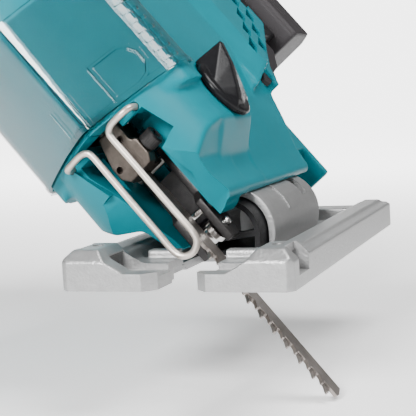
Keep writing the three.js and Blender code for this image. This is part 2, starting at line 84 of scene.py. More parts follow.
def make_camera():
    data = bpy.data.cameras.new("camera")
    data.sensor_width = SENSOR_MM
    data.lens = LENS_MM
    data.clip_start = 0.02
    camera = bpy.data.objects.new("camera", data)
    azimuth, elevation, roll = math.radians(AZIMUTH), math.radians(ELEVATION), math.radians(ROLL)
    back = Vector((math.sin(azimuth) * math.cos(elevation), -math.cos(azimuth) * math.cos(elevation),
                   math.sin(elevation)))
    right = Vector((math.cos(azimuth), math.sin(azimuth), 0))
    up = back.cross(right)
    across = right * math.cos(roll) + up * math.sin(roll)
    upward = up * math.cos(roll) - right * math.sin(roll)
    turn = Matrix((across, upward, back)).transposed().to_4x4()
    camera.matrix_world = Matrix.Translation((CAMERA_X, FRONT_Y - CAMERA_BEFORE_BASE, CAMERA_Z)) @ turn
    bpy.context.scene.collection.objects.link(camera)
    bpy.context.scene.camera = camera


def make_light(name, place, target, size, energy):
    data = bpy.data.lights.new(name, "AREA")
    data.shape = "RECTANGLE"
    data.size, data.size_y = size
    data.energy = energy
    light = bpy.data.objects.new(name, data)
    light.location = place
    light.rotation_euler = (Vector(target) - Vector(place)).to_track_quat("-Z", "Y").to_euler()
    bpy.context.scene.collection.objects.link(light)


def vector_node(tree, operation, first, second=None):
    node = tree.nodes.new("ShaderNodeVectorMath")
    node.operation = operation
    for slot, value in enumerate((first, second)):
        if isinstance(value, tuple):
            node.inputs[slot].default_value = value
        elif value:
            tree.links.new(value, node.inputs[slot])
    return node


def range_node(tree, value, low, high, start, end):
    node = tree.nodes.new("ShaderNodeMapRange")
    node.interpolation_type = "SMOOTHSTEP"
    for name, number in (("From Min", low), ("From Max", high), ("To Min", start), ("To Max", end)):
        node.inputs[name].default_value = number
    tree.links.new(value, node.inputs["Value"])
    return node.outputs["Result"]


def make_world():
    """A soft grey room that is bright only on the far side of the tool."""
    world = bpy.data.worlds.new("studio")
    world.use_nodes = True
    tree = world.node_tree
    background = tree.nodes["Background"]
    background.inputs["Color"].default_value = (1, 1, 1, 1)
    direction = tree.nodes.new("ShaderNodeTexCoord").outputs["Generated"]
    facing = vector_node(tree, "DOT_PRODUCT", direction, BEHIND_TOOL)
    level = range_node(tree, facing.outputs["Value"], 0.945, 0.965, 0.25, 4.5)
    tree.links.new(level, background.inputs["Strength"])
    bpy.context.scene.world = world


def wedge_glow(tree):
    """Glow that grows with the distance behind the tool, within a wedge that opens from its front left."""
    place = tree.nodes.new("ShaderNodeNewGeometry").outputs["Position"]
    offset = vector_node(tree, "SUBTRACT", place, GLOW_START)
    way = vector_node(tree, "NORMALIZE", offset.outputs["Vector"])
    facing = vector_node(tree, "DOT_PRODUCT", way.outputs["Vector"], BEHIND_ON_FLOOR)
    parts = tree.nodes.new("ShaderNodeSeparateXYZ")
    tree.links.new(place, parts.inputs["Vector"])
    inside = range_node(tree, facing.outputs["Value"], 0.955, 0.98, 0, 1)
    behind = range_node(tree, parts.outputs["Y"], 0, 1, 0, 3.9)
    product = tree.nodes.new("ShaderNodeMath")
    product.operation = "MULTIPLY_ADD"
    tree.links.new(inside, product.inputs[0])
    tree.links.new(behind, product.inputs[1])
    product.inputs[2].default_value = 0.3
    return product.outputs["Value"]


def make_floor():
    """A pale floor that grows brighter behind the tool until it meets the room."""
    reach = 6
    mesh = bpy.data.meshes.new("floor")
    mesh.from_pydata([(-reach, -reach, 0), (reach, -reach, 0), (reach, reach, 0), (-reach, reach, 0)], [],
                     [(0, 1, 2, 3)])
    floor = bpy.data.objects.new("floor", mesh)
    floor.location.z = CAD_BOX[0].z - 0.001
    bpy.context.scene.collection.objects.link(floor)
    material = bpy.data.materials.new("floor")
    material.use_nodes = True
    shader = material.node_tree.nodes["Principled BSDF"]
    shader.inputs["Base Color"].default_value = (0.95, 0.95, 0.95, 1)
    shader.inputs["Roughness"].default_value = 0.8
    shader.inputs["Emission Color"].default_value = (1, 1, 1, 1)
    glow = wedge_glow(material.node_tree)
    material.node_tree.links.new(glow, shader.inputs["Emission Strength"])
    mesh.materials.append(material)


def make_studio():
    make_world()
    make_floor()
    make_light("key", (-0.15, -1.15, 0.62), (0, 0, 0.05), (0.4, 0.3), 30)
    make_light("top", (0.4, -0.05, 1.0), (0, 0, 0.05), (0.6, 0.6), 15)


# ------------------------------------------------------------------ finishes
def finish(name, colour, roughness, metallic=0.0, grain=(), mottle=(), scratch=(), shine=0.5, clear=0.0,
           ior=1.5):
    """A procedural finish.

    grain is (size in mm, bump), mottle is (size in mm, darker share) and scratch is (stretch, bump).
    """
    material = bpy.data.materials.new(name)
    material.use_nodes = True
    tree = material.node_tree
    shader = tree.nodes["Principled BSDF"]
    shader.inputs["Roughness"].default_value = roughness
    shader.inputs["Metallic"].default_value = metallic
    shader.inputs["Specular IOR Level"].default_value = shine
    shader.inputs["IOR"].default_value = ior
    shader.inputs["Transmission Weight"].default_value = clear
    place = tree.nodes.new("ShaderNodeTexCoord").outputs["Object"]
    tint = (*colour, 1)
    shader.inputs["Base Color"].default_value = tint
    if mottle:
        size, share = mottle
        noise = tree.nodes.new("ShaderNodeTexNoise")
        noise.inputs["Scale"].default_value = 1000 / size
        noise.inputs["Detail"].default_value = 5
        tree.links.new(place, noise.inputs["Vector"])
        ramp = tree.nodes.new("ShaderNodeValToRGB")
        ramp.color_ramp.elements[0].position = 0.3
        ramp.color_ramp.elements[1].position = 0.7
        ramp.color_ramp.elements[0].color = (*[c * (1 - share) for c in colour], 1)
        ramp.color_ramp.elements[1].color = (*[min(1, c * (1 + share * 0.6)) for c in colour], 1)
        tree.links.new(noise.outputs["Fac"], ramp.inputs["Fac"])
        tree.links.new(ramp.outputs["Color"], shader.inputs["Base Color"])
        rough = tree.nodes.new("ShaderNodeMapRange")
        rough.inputs["To Min"].default_value = roughness * 0.85
        rough.inputs["To Max"].default_value = min(1, roughness * 1.18)
        tree.links.new(noise.outputs["Fac"], rough.inputs["Value"])
        tree.links.new(rough.outputs["Result"], shader.inputs["Roughness"])
    normal = None
    for kind, detail in (("grain", grain), ("scratch", scratch)):
        if not detail:
            continue
        noise = tree.nodes.new("ShaderNodeTexNoise")
        noise.inputs["Detail"].default_value = 3
        bump = tree.nodes.new("ShaderNodeBump")
        if kind == "grain":
            noise.inputs["Scale"].default_value = 1000 / detail[0]
            tree.links.new(place, noise.inputs["Vector"])
        else:
            mapping = tree.nodes.new("ShaderNodeMapping")
            mapping.inputs["Scale"].default_value = detail[0]
            tree.links.new(place, mapping.inputs["Vector"])
            tree.links.new(mapping.outputs["Vector"], noise.inputs["Vector"])
            noise.inputs["Scale"].default_value = 1
        bump.inputs["Strength"].default_value = detail[1]
        bump.inputs["Distance"].default_value = 0.0004
        tree.links.new(noise.outputs["Fac"], bump.inputs["Height"])
        if normal:
            tree.links.new(normal, bump.inputs["Normal"])
        normal = bump.outputs["Normal"]
    if normal:
        tree.links.new(normal, shader.inputs["Normal"])
    return material


TEAL = finish("teal plastic", (0.0, 0.16, 0.198), 0.34, grain=(0.35, 0.12), mottle=(9, 0.06), ior=1.2)
BLACK = finish("black plastic", (0.01, 0.01, 0.011), 0.42, grain=(0.4, 0.2), mottle=(6, 0.2), ior=1.3)
DARK = finish("dark grey plastic", (0.025, 0.022, 0.024), 0.5, grain=(0.5, 0.3), mottle=(8, 0.12),
              ior=1.3)
GLOSS = finish("glossy black plastic", (0.008, 0.008, 0.009), 0.22, grain=(0.8, 0.08),
               mottle=(5, 0.2), ior=1.24)
RUBBER = finish("black rubber", (0.015, 0.015, 0.016), 0.8, grain=(0.6, 0.5), mottle=(4, 0.2))
CAST = finish("cast aluminium", (0.37, 0.37, 0.37), 0.42, 0.75, grain=(0.9, 0.45), mottle=(3, 0.08))
SINTERED = finish("sintered steel", (0.09, 0.075, 0.064), 0.4, 0.85, grain=(0.5, 0.3),
                  mottle=(1.5, 0.2))
STEEL = finish("ground steel", (0.5, 0.48, 0.45), 0.3, 0.95, scratch=((300, 300, 9000), 0.15),
               mottle=(3, 0.1))
BLADE_STEEL = finish("blade steel", (0.3, 0.27, 0.25), 0.4, 0.9,
                     scratch=((400, 6000, 400), 0.25), mottle=(4, 0.18))
BRIGHT = finish("bright steel", (0.75, 0.74, 0.72), 0.14, 1.0, scratch=((6000, 500, 500), 0.08),
                mottle=(2, 0.05))
OXIDE = finish("black oxide steel", (0.03, 0.028, 0.028), 0.34, 0.6, grain=(0.4, 0.25),
               mottle=(2, 0.25))
WIRE = finish("satin wire", (0.62, 0.56, 0.5), 0.34, 0.8, scratch=((500, 500, 6000), 0.1),
              mottle=(2, 0.08))
CLEAR = finish("clear cover", (0.97, 0.995, 1.0), 0.03, grain=(3, 0.03), shine=0.3, clear=1.0)
COPPER = finish("copper winding", (0.5, 0.2, 0.08), 0.35, 0.9, scratch=((900, 9000, 900), 0.4),
                mottle=(2, 0.2))
BRONZE = finish("sintered bronze", (0.4, 0.26, 0.1), 0.4, 0.9, grain=(0.3, 0.3), mottle=(1.5, 0.15))
BOARD = finish("circuit board", (0.02, 0.13, 0.05), 0.4, grain=(0.6, 0.3), mottle=(3, 0.3))
SLEEVE = finish("cell sleeve", (0.12, 0.22, 0.3), 0.35, 0.1, grain=(1.5, 0.1), mottle=(5, 0.1))

SLOT_FINISH = {
    "teal_plastic": TEAL, "black_plastic": BLACK, "dark_plastic": DARK, "rubber": RUBBER,
    "cast_aluminium": CAST, "cast_steel": SINTERED, "steel": STEEL, "black_steel": OXIDE,
    "wire_steel": WIRE, "clear_plastic": CLEAR, "copper": COPPER, "bronze": BRONZE,
    "circuit_board": BOARD, "cell_sleeve": SLEEVE,
}


def finish_cad_nodes():
    for entry in frame["record"]["subparts"]:
        mesh = NODES[entry["node"]].data
        mesh.materials.clear()
        mesh.materials.append(SLOT_FINISH[entry["material_slot"]])


# ------------------------------------------------------------------ mesh helpers, all in millimetres
def solid(vertices, faces):
    """A closed mesh object with its faces pointing out."""
    mesh = bpy.data.meshes.new("work")
    mesh.from_pydata([tuple(v) for v in vertices], [], faces)
    shape = bmesh.new()
    shape.from_mesh(mesh)
    bmesh.ops.recalc_face_normals(shape, faces=shape.faces)
    shape.to_mesh(mesh)
    shape.free()
    work = bpy.data.objects.new("work", mesh)
    bpy.context.scene.collection.objects.link(work)
    return work


def loft(rings):
    """Skin through rings of equal length, closed at both ends."""
    count = len(rings[0])
    vertices = [point for ring in rings for point in ring]
    faces = [tuple(range(count)), tuple(range(len(vertices) - count, len(vertices)))]
    for row in range(len(rings) - 1):
        start = row * count
        for i in range(count):
            j = (i + 1) % count
            faces.append((start + i, start + j, start + count + j, start + count + i))
    return solid(vertices, faces)


def along(axis, outline, low, high):
    """An outline of (a, b) pairs run along x, y or z; the pair is the other two axes in x, y, z order."""
    place = {
        "x": lambda a, b, t: (t, a, b),
        "y": lambda a, b, t: (a, t, b),
        "z": lambda a, b, t: (a, b, t),
    }[axis]
    return loft([[place(a, b, t) for a, b in outline] for t in (low, high)])


def hull(points):
    """The convex body around points."""
    shape = bmesh.new()
    for point in points:
        shape.verts.new(point)
    bmesh.ops.convex_hull(shape, input=shape.verts)
    mesh = bpy.data.meshes.new("work")
    shape.to_mesh(mesh)
    shape.free()
    work = bpy.data.objects.new("work", mesh)
    bpy.context.scene.collection.objects.link(work)
    return work


def block(x0, x1, y0, y1, z0, z1):
    return along("z", [(x0, y0), (x1, y0), (x1, y1), (x0, y1)], z0, z1)


def turned(profile, origin, direction, sides=40):
    """A round piece: profile of (distance along, radius) pairs, closed on the axis at both ends."""
    way = Vector(direction).normalized()
    side = way.orthogonal().normalized()
    other = way.cross(side)
    rings = []
    for distance, radius in profile:
        centre = Vector(origin) + way * distance
        rings.append([centre + (side * math.cos(a) + other * math.sin(a)) * max(radius, 0.01)
                      for a in [2 * math.pi * i / sides for i in range(sides)]])
    return loft(rings)


def curve_points(points, per_span=8):
    """Catmull-Rom curve through points."""
    points = [Vector(p) for p in points]
    padded = [points[0] * 2 - points[1], *points, points[-1] * 2 - points[-2]]
    out = []
    for i in range(1, len(padded) - 2):
        p0, p1, p2, p3 = padded[i - 1:i + 3]
        for step in range(per_span):
            t = step / per_span
            out.append(0.5 * (2 * p1 + (p2 - p0) * t + (2 * p0 - 5 * p1 + 4 * p2 - p3) * t * t
                              + (3 * p1 - p0 - 3 * p2 + p3) * t ** 3))
    out.append(points[-1])
    return out


def wire(points, radius, sides=16, per_span=10):
    """A round bar bent along a smooth curve."""
    path = curve_points(points, per_span)
    rings = []
    normal = (path[1] - path[0]).orthogonal().normalized()
    for i, point in enumerate(path):
        way = (path[min(i + 1, len(path) - 1)] - path[max(i - 1, 0)]).normalized()
        normal = (normal - way * normal.dot(way)).normalized()
        other = way.cross(normal)
        rings.append([point + (normal * math.cos(a) + other * math.sin(a)) * radius
                      for a in [2 * math.pi * k / sides for k in range(sides)]])
    return loft(rings)


def settle(work):
    """Applies every modifier."""
    graph = bpy.context.evaluated_depsgraph_get()
    mesh = bpy.data.meshes.new_from_object(work.evaluated_get(graph))
    work.modifiers.clear()
    old = work.data
    work.data = mesh
    bpy.data.meshes.remove(old)
    return work


def combine(kind, work, *tools):
    for tool in tools:
        modifier = work.modifiers.new("boolean", "BOOLEAN")
        modifier.solver = "MANIFOLD"
        modifier.operation = kind
        modifier.object = tool
        settle(work)
        bpy.data.objects.remove(tool)
    return work


def join(work, *tools):
    return combine("UNION", work, *tools)


def cut(work, *tools):
    return combine("DIFFERENCE", work, *tools)


def common(work, *tools):
    return combine("INTERSECT", work, *tools)


def soften(work, voxel, rounds, factor=0.5):
    """Remeshes evenly and rounds every edge by a few voxels."""
    remesh = work.modifiers.new("remesh", "REMESH")
    remesh.mode = "VOXEL"
    remesh.voxel_size = voxel
    remesh.use_smooth_shade = True
    if rounds:
        smooth = work.modifiers.new("smooth", "SMOOTH")
        smooth.iterations = rounds
        smooth.factor = factor
    return settle(work)


def bevelled(work, width, segments=3, angle=30):
    modifier = work.modifiers.new("bevel", "BEVEL")
    modifier.width = width
    modifier.segments = segments
    modifier.limit_method = "ANGLE"
    modifier.angle_limit = math.radians(angle)
    return settle(work)


def twin(work):
    """A second object with a mesh of its own."""
    copy = work.copy()
    copy.data = work.data.copy()
    bpy.context.scene.collection.objects.link(copy)
    return copy


def side_block(side, near, far, *rest):
    """A block on one side of the middle plane, between two distances from it."""
    return block(*sorted((side * near, side * far)), *rest)


def piece(work, name, matrix, body, material, replaced=(), sharp=None):
    """Puts a millimetre object in place, parents it to its body's empty and hides the CAD parts it replaces.
    """
    work.name = name
    work.data.name = name
    work.data.transform(matrix)
    work.data.materials.clear()
    work.data.materials.append(material)
    work.data.polygons.foreach_set("material_index", [0] * len(work.data.polygons))
    work.data.shade_smooth()
    if sharp:
        work.data.set_sharp_from_angle(angle=math.radians(sharp))
    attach(work, body)
    if replaced:
        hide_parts(*replaced)
    return work


# ------------------------------------------------------------------ housing
HEAD_TOP = 128
REAR = 140
MOUNT_REAR = 184
CHIN_HALF = 29.6
SEAM = 0.28  # half of the gap between the two shells
COVER_BOTTOM, COVER_TOP = 50, 96
COVER_HALF, COVER_WALL = 33.6, 1.8
WIRE_TOP, WIRE_END = 47, 15.5
LEVER_Y, LEVER_Z, LEVER_FACE, LEVER_R = 64, 39.4, 29, 12
BOLT_Y = 112
DIAL_Y, DIAL_Z = 62, 184
LOCK_Y, LOCK_Z = 100, 171
SCREWS = [(36, 160, 15), (158, 171, 15), (176, 76, 28), (72, 119, 28), (128, 102, 28), (137, 28, 21)]


def mirrored(points):
    return [*points, *[(-x, other) for x, other in reversed(points)]]


def front_curve(left, tip):
    """A curve across the front, through the left side's points, the tip and the mirrored points."""
    points = [(-x, y, 0) for x, y in reversed(left)] + [(0, tip, 0)] + [(x, y, 0) for x, y in left]
    return [(p.x, p.y) for p in curve_points(points, 5)]


def head_plan(inset, rear, half):
    """The head seen from above: a rounded point in front, straight sides behind."""
    left = [(6.5, 14.6), (14, 18.8), (24, 26), (31, 32.2), (half, 38)]
    curve = [(x, y + inset) for x, y in front_curve(left, 12.2)]
    return [*curve, (half, rear), (-half, rear)]


def chin_plan(rear):
    """The lower front seen from above: it turns into the side sooner than the head does."""
    left = [(6.5, 16.2), (14, 20.4), (21, 26), (26, 33), (29, 43), (CHIN_HALF, 50)]
    return [*front_curve(left, 13.8), (CHIN_HALF, rear), (-CHIN_HALF, rear)]


def nose_profile():
    left = [(9, 4.5), (12.4, 5), (12.9, 17), (20, 21.6), (25.6, 27), (CHIN_HALF, 29), (CHIN_HALF, 44),
            (33, 50), (33, 60)]
    return mirrored(left)


def lower_profile(extra):
    """The skirt over the barrel seen from the front, carried on upwards by extra."""
    skirt = [(9, 8), (12, 6.3), (15.4, 6.3), (17, 8), (17.2, 16), (18.5, 19.5)]
    return mirrored([*skirt, *extra])


def housing_outside():
    """Everything solid, without hollows, before its edges are rounded."""
    arm = [(9, 8), (12, 6.2), (15.3, 6.2), (17, 8), (17.3, 15.6), (19, 20.4), (21.2, 27), (9, 27)]
    head_side = [(12, 56), (12, HEAD_TOP - 6), (20, HEAD_TOP), (REAR - 6, 106), (200, 100), (200, 78),
                 (REAR + 10, 50), (REAR, 40), (80, 38), (34, 44)]
    grip_side = [(22, 120), (26, 150), (32, 170), (42, 184), (54, 190), (66, 191), (110, 188.6), (150, 186),
                 (176, 180), (200, 160), (200, 90), (150, 60), (60, 60)]
    hand_hole = [(77, 112), (73, 124), (73, 148), (78, 155), (88, 157.5), (150, 154), (160, 150), (164, 142),
                 (164, 106)]
    rear_skirt = [(9, 8), (12, 6.3), (15.4, 6.3), (16.6, 8), (17.6, 16), (21.6, 28), (25.4, 42),
                  (CHIN_HALF, 58), (CHIN_HALF, 62)]
    mount_plan = [(-29.4, 116), (29.4, 116), (33.4, 134), (33.4, 190), (-33.4, 190), (-33.4, 134)]
    mount_side = [(114, 41), (140, 51), (190, 76), (190, 168), (172, 168), (150, 118), (114, 96)]
    lower = common(along("y", nose_profile(), 10, 57), along("z", chin_plan(60), 0, COVER_BOTTOM - 0.4))
    lower = join(lower,
                 along("y", arm, 26, 57),
                 along("y", lower_profile([(29, 28.4), (29.4, 42), (CHIN_HALF, 60)]), 46, 78),
                 along("y", mirrored(rear_skirt), 77, REAR))
    upper = join(along("z", head_plan(3.4, 48.5, 32.4), 44, HEAD_TOP + 1),
                 block(-29.8, 29.8, 46.5, 80, 44, 64),
                 block(-29.8, 29.8, 47, 150, 60, HEAD_TOP + 1),
                 block(-30, 30, 140, 190, 40, HEAD_TOP + 1))
    upper = common(upper, along("x", head_side, -33, 33))
    handle = cut(along("x", grip_side, -17, 17), along("x", hand_hole, -20, 20))
    return join(upper, lower, handle,
                common(along("z", mount_plan, 40, 168), along("x", mount_side, -40, 40)),
                block(-15.5, 15.5, 135, 163, 16.4, 46),
                block(-15.5, 15.5, 159.2, 163, 2, 20))


def housing_cuts():
    """Hollows, bores and slots, cut after the outside is rounded so that their edges stay crisp."""
    window_side = [(13.9, 30.6), (13.9, 19.5), (10, 12.5), (9.2, 9), (9.2, -1)]
    window_front = [(-8.6, -1), (-8.6, 29), (-15.8, 48.6), (17.4, 48.6), (20.6, 34), *window_side]
    window_deep = [(-8.6, -1), (-8.6, 29), (-12.6, 41), (-12.6, 45.4), (17.2, 45.4), (20.2, 34),
                   *window_side]
    yield block(-40, 40, MOUNT_REAR, 220, 40, 200)
    yield along("x", [(0, -2), (37, -2), (35.4, 8), (21.6, 28), (20.6, 31), (0, 31)], -40, 40)
    yield along("y", window_front, 0, 22.6)
    yield along("y", window_deep, 20, 34.5)
    yield turned([(50, 15.6), (REAR + 1, 15.6)], (0, 0, 0), BACKWARD, 96)
    for box in ((-9, 9, 30, 52, -1, 47), (-12, 12, 23, 40, 50, 122), (-8, 8, 22.4, 50, 40, 52),
                (-6.4, 14, 24.2, 40, 44, 62), (-27.5, 27.5, 36.4, 68, 52, 122), (-25, 25, 66, 134, 48, 95),
                (-21, 21, 58, 134, 30, 50), (-14, 14, 58, 134, 21, 31), (-14, 14, 50, 64, 156, 184),
                (-14, 14, 62, 172, 160, 182), (-14, 14, 40, 66, 120, 170), (-14, 14, 166.5, 181, 80, 174),
                (-12, 12, 132, 168, 64, 92), (-14, 14, 180, MOUNT_REAR + 1, 88, 160),
                (-7.6, 7.6, 83.4, 112.6, 145, 161), (-4.4, 4.4, DIAL_Y - 10.4, DIAL_Y + 10.4, 173, 196)):
        yield block(*box)
    for x in (WIRE_END, -WIRE_END):
        yield turned([(12, 1.5), (41, 1.5)], (x, 0, WIRE_TOP), BACKWARD, 24)
    yield turned([(10, 3.1), (24, 3.1)], (0, BOLT_Y, 0), UPWARD)
    yield turned([(5, 3.4), (40, 3.4)], (0, LEVER_Y, LEVER_Z), ACROSS)
    yield turned([(LEVER_FACE + 0.2, LEVER_R + 0.9), (40, LEVER_R + 0.9)], (0, LEVER_Y, LEVER_Z), ACROSS, 64)
    yield turned([(5, 4.4), (30, 4.4)], (0, LOCK_Y, LOCK_Z), ACROSS)
    for y, z, x in SCREWS:
        yield turned([(-40, 3.8), (4.7 - x, 3.8)], (0, y, z), ACROSS)
        yield turned([(-40, 2.1), (10, 2.1)], (0, y, z), ACROSS)
    # Four pairs of cooling slots up the rear edge of each side.
    for side in (1, -1):
        for row in range(4):
            y, z = 133 + row * 11, 55 + row * 9
            for shift in (0, 13):
                slot = [(y + shift, z), (y + shift + 10, z + 4.4), (y + shift + 10, z + 9.6),
                        (y + shift, z + 5.2)]
                yield along("x", slot, side * 28.6, side * 37)


def make_housing():
    shell = soften(housing_outside(), 0.9, 5)
    shell = cut(shell, *housing_cuts())
    groove = [(168, 96), (168, 97), (60, 112.6), (60, 111.6)]
    shell = cut(shell, *[along("x", groove, side * 29.4, side * 33) for side in (1, -1)])
    other = twin(shell)
    left = common(shell, block(SEAM, 60, -10, 260, -20, 260))
    right = common(other, block(-60, -SEAM, -10, 260, -20, 260))
    piece(left, "shell_left", BODY, "housing", TEAL, ("housing_left",), sharp=35)
    piece(right, "shell_right", BODY, "housing", TEAL, ("housing_right",), sharp=35)


# ------------------------------------------------------------------ dust cover and wire guard
def make_cover():
    """Clear front shroud with a thick lower rim, a raised thumb tab and a ribbed strip at its left edge."""
    inside = along("z", head_plan(COVER_WALL, 52, COVER_HALF - COVER_WALL), COVER_BOTTOM - 1, COVER_TOP + 1)
    body = cut(along("z", head_plan(0, 46, COVER_HALF), COVER_BOTTOM, COVER_TOP), twin(inside))
    raised = cut(along("z", head_plan(-0.6, 46, 34.2), COVER_BOTTOM, COVER_TOP),
                 along("z", head_plan(0.4, 52, 33.2), 40, 110))
    tab = [(13.4, 51), (13.4, 66), (23, 66.4), (26.4, 64.6), (28, 61.5), (28, 56.5), (25.5, 52.5), (22, 51)]
    inner_tab = [(21 + (x - 21) * 0.84, 58.7 + (z - 58.7) * 0.86) for x, z in tab]
    frame_ring = cut(along("y", tab, 10, 36), along("y", inner_tab, 5, 38))
    latch = [along("y", [(x, 50.5), (x + 1.3, 50.5), (x + 1.3, 63), (x, 63)], 5, 20) for x in (-6.2, 3.4)]
    ladder = [block(30.2, 36, 26, 37.6, COVER_BOTTOM + 3 + row * 4.1, COVER_BOTTOM + 4.2 + row * 4.1)
              for row in range(11)]
    for trim in (frame_ring, *latch, *ladder):
        body = join(body, common(twin(raised), trim))
    bpy.data.objects.remove(raised)
    rim = cut(along("z", head_plan(-0.5, 46, 34.1), COVER_BOTTOM, COVER_BOTTOM + 2), inside)
    body = join(body, rim)
    piece(body, "cover_shell", BODY, "cover", CLEAR, ("dust_cover",), sharp=30)


def make_guard_wire():
    y, leg, bottom = 17, 4.6, -1
    half = [(WIRE_END, 39, WIRE_TOP), (WIRE_END, 26, WIRE_TOP), (WIRE_END, 20.5, WIRE_TOP),
            (WIRE_END - 1, 18, WIRE_TOP), (WIRE_END - 3.4, y, WIRE_TOP), (leg + 3.2, y, WIRE_TOP),
            (leg + 0.9, y, WIRE_TOP - 0.9), (leg, y, WIRE_TOP - 3.2), (leg, y, 36), (leg, y, 24),
            (leg, y, 12),
            (leg, y, bottom + 4.6), (leg - 1.4, y, bottom + 1.3)]
    points = [*half, (0, y, bottom), *[(-x, py, z) for x, py, z in reversed(half)]]
    piece(wire(points, 1.15, 20), "guard_bar", BODY, "housing", WIRE, ("guard_wire",))


# ------------------------------------------------------------------ base
BASE_HALF, BASE_LENGTH = 38, 158
WEB = 2.8  # thickness of the floor beside the barrel
BARREL_R, BARREL_INNER, AXIS = 15, 12.5, 10.3
CHANNEL_FRONT, CHANNEL_REAR, CHANNEL_FLOOR, CHANNEL_ROOF = 7, 18.6, 4, 10


def barrel_arc(radius, start, end, steps):
    angles = [math.radians(start + (end - start) * i / steps) for i in range(steps + 1)]
    return [(radius * math.cos(a), AXIS + radius * math.sin(a)) for a in angles]


def base_outside():
    side = [(11, 0), (11, WEB), (21.5, WEB), (24, 9.3), (26, 9.5), (26.3, 10.3), (32.7, 10.3), (33, 9.6),
            (BASE_HALF, 9.2), (BASE_HALF, 0)]
    block_side = [(20, 0), (20, 7.5), (23, 9.2), (26, 12.7), (34.5, 12.7), (BASE_HALF, 9.2), (BASE_HALF, 0)]
    front = [(0, 0), (0, 9.2), (3.5, 12.7), (19.5, 12.7), (19.5, 0)]
    lip = [(-23, 0), (23, 0), (23, 9.2), (16.5, 5.5), (-16.5, 5.5), (-23, 9.2)]
    blocks = join(along("y", block_side, 0, 19.5), along("y", [(-x, z) for x, z in block_side], 0, 19.5))
    blocks = common(blocks, along("x", front, -BASE_HALF, BASE_HALF))
    plan = [(-BASE_HALF, 2), (-36, 0), (36, 0), (BASE_HALF, 2), (BASE_HALF, 153), (36.5, 156.5),
            (33, BASE_LENGTH), (-33, BASE_LENGTH), (-36.5, 156.5), (-BASE_HALF, 153)]
    whole = join(along("z", plan, 0, WEB), along("y", side, 19, BASE_LENGTH),
                 along("y", [(-x, z) for x, z in side], 19, BASE_LENGTH), blocks, along("y", lip, 0, 19.5),
                 block(-22, 22, 18.5, 32, 0, 6), block(-19, 19, 27, 32, 0, 8.8),
                 block(-24, 24, 145, BASE_LENGTH, 0, 8))
    whole = common(whole, along("z", plan, -1, 60))
    barrel = along("y", [*barrel_arc(BARREL_R, -34, 214, 60)], 62, 125)
    return whole, barrel


def base_cuts():
    yield block(-39, 39, CHANNEL_FRONT, CHANNEL_REAR, CHANNEL_FLOOR, CHANNEL_ROOF)
    yield block(-24, 24, CHANNEL_FRONT, CHANNEL_REAR, CHANNEL_FLOOR, 20)
    for side in (1, -1):
        yield side_block(side, 33.4, 39, CHANNEL_FRONT, CHANNEL_REAR, CHANNEL_FLOOR, 20)
        yield turned([(9, 2), (14, 2)], (side * 30, 13, 0), UPWARD, 28)
    yield along("z", [(-6.5, 22), (-6.5, 4), (-11.5, -1), (11.5, -1), (6.5, 4), (6.5, 22)], -1, 20)
    yield block(-8.5, 8.5, 16, 58, -1, 20)
    yield block(-11, 11, 36, 58, -1, 20)
    yield along("y", [(-12.4, -1), (12.4, -1), (12.4, 0), (8, 4.2), (-8, 4.2), (-12.4, 0)], 23, 41)
    inner = barrel_arc(BARREL_INNER, 0, 180, 40)
    yield along("y", [(BARREL_INNER, WEB), *inner, (-BARREL_INNER, WEB)], 50, 143)
    fan = [(0.01, AXIS), *barrel_arc(21, 32, 32.1, 1), (21, 45), (-21, 45), *barrel_arc(21, 147.9, 148, 1),
           (-0.01, AXIS)]
    yield along("y", fan, BOLT_Y - 3.6, BOLT_Y + 3.6)
    yield block(-11.5, 11.5, BOLT_Y - 5, BOLT_Y + 5, -1, 3.8)


def make_base():
    whole, barrel = base_outside()
    whole = soften(whole, 0.55, 3)
    barrel = bevelled(barrel, 0.5)
    ring = [*barrel_arc(BARREL_R + 0.5, 20, 160, 40), *barrel_arc(BARREL_R - 1, 160, 20, 40)]
    rib = along("y", ring, 84, 85.6)
    whole = cut(join(whole, barrel, rib), *base_cuts())
    piece(whole, "base_casting", BASE, "base", CAST, ("base_plate",), sharp=35)


# ------------------------------------------------------------------ blade and clamp
CLAMP_SCREW = (0, 28, 37)


def make_blade():
    """Toothed strip: hooked teeth cut into the front edge and set to alternate sides."""
    tooth_y, root_y, back_y, top, tip, pitch, teeth = 26.8, 29.2, 36.4, 36, -65, 3.15, 19
    outline = [(root_y + 0.9, tip + 0.4), (back_y - 4.4, tip), (back_y, tip + 1.2), (back_y, 22),
               (back_y - 1.6, 26), (back_y - 1.6, top), (28.9, top), (28.9, 26), (28.3, 22), (28.3, -1),
               (root_y, -2)]
    body = along("x", outline, -0.6, 0.6)
    hooks = []
    for i in range(teeth):
        z = tip + 2 + pitch * (i + 1)
        lean = 0.4 if i % 2 else -0.4
        hook = [(root_y + 0.5, z + 0.9), (root_y - 0.6, z - 0.3), (tooth_y, z - 1.7),
                (tooth_y + 0.2, z - 2.2), (root_y - 0.8, z - 1.8), (root_y + 0.5, z - 1.5)]
        hooks.append(along("x", hook, lean - 0.58, lean + 0.58))
    body = join(body, *hooks)
    piece(body, "blade_strip", BODY, "plunger", BLADE_STEEL, ("blade",), sharp=25)


